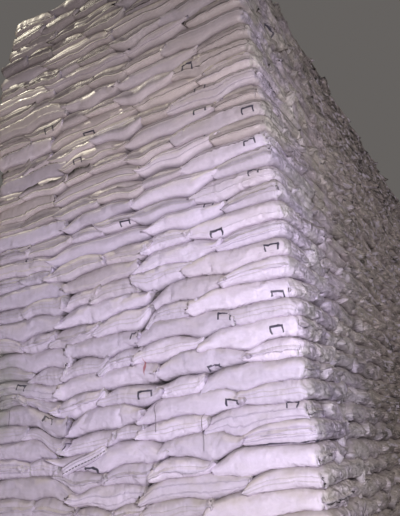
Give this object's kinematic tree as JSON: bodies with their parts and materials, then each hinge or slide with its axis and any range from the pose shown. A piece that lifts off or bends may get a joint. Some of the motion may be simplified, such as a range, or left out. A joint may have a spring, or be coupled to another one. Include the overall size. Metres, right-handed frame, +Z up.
{
  "type": "block stack of filled woven sacks",
  "caption": "Tall free-standing block stack of plump white woven sacks laid flat in bonded courses, with leaning faces and a stepped shoulder.",
  "frame": {"origin": "centre of the stack's footprint, on the floor that the lowest course rests on", "axes": "+Z up; +Y runs into the stack's long depth; -Y is the front face, and the near corner of the picture is at +X -Y"},
  "size_m": [3.23, 9.3, 6.7451],
  "materials": {
    "woven_sack": "satin"
  },
  "bodies": {
    "root": {"course_01": "woven_sack", "course_02": "woven_sack", "course_03": "woven_sack", "course_04": "woven_sack", "course_05": "woven_sack", "course_06": "woven_sack", "course_07": "woven_sack", "course_08": "woven_sack", "course_09": "woven_sack", "course_10": "woven_sack", "course_11": "woven_sack", "course_12": "woven_sack", "course_13": "woven_sack", "course_14": "woven_sack", "course_15": "woven_sack", "course_16": "woven_sack", "course_17": "woven_sack", "course_18": "woven_sack", "course_19": "woven_sack", "course_20": "woven_sack", "course_21": "woven_sack", "course_22": "woven_sack", "course_23": "woven_sack", "course_24": "woven_sack", "course_25": "woven_sack", "course_26": "woven_sack", "course_27": "woven_sack", "course_28": "woven_sack", "course_29": "woven_sack", "course_30": "woven_sack", "course_31": "woven_sack", "course_32": "woven_sack", "course_33": "woven_sack", "course_34": "woven_sack", "course_35": "woven_sack", "course_36": "woven_sack", "course_37": "woven_sack", "course_38": "woven_sack", "course_39": "woven_sack", "course_40": "woven_sack", "course_41": "woven_sack", "course_42": "woven_sack"}
  },
  "joints": []
}
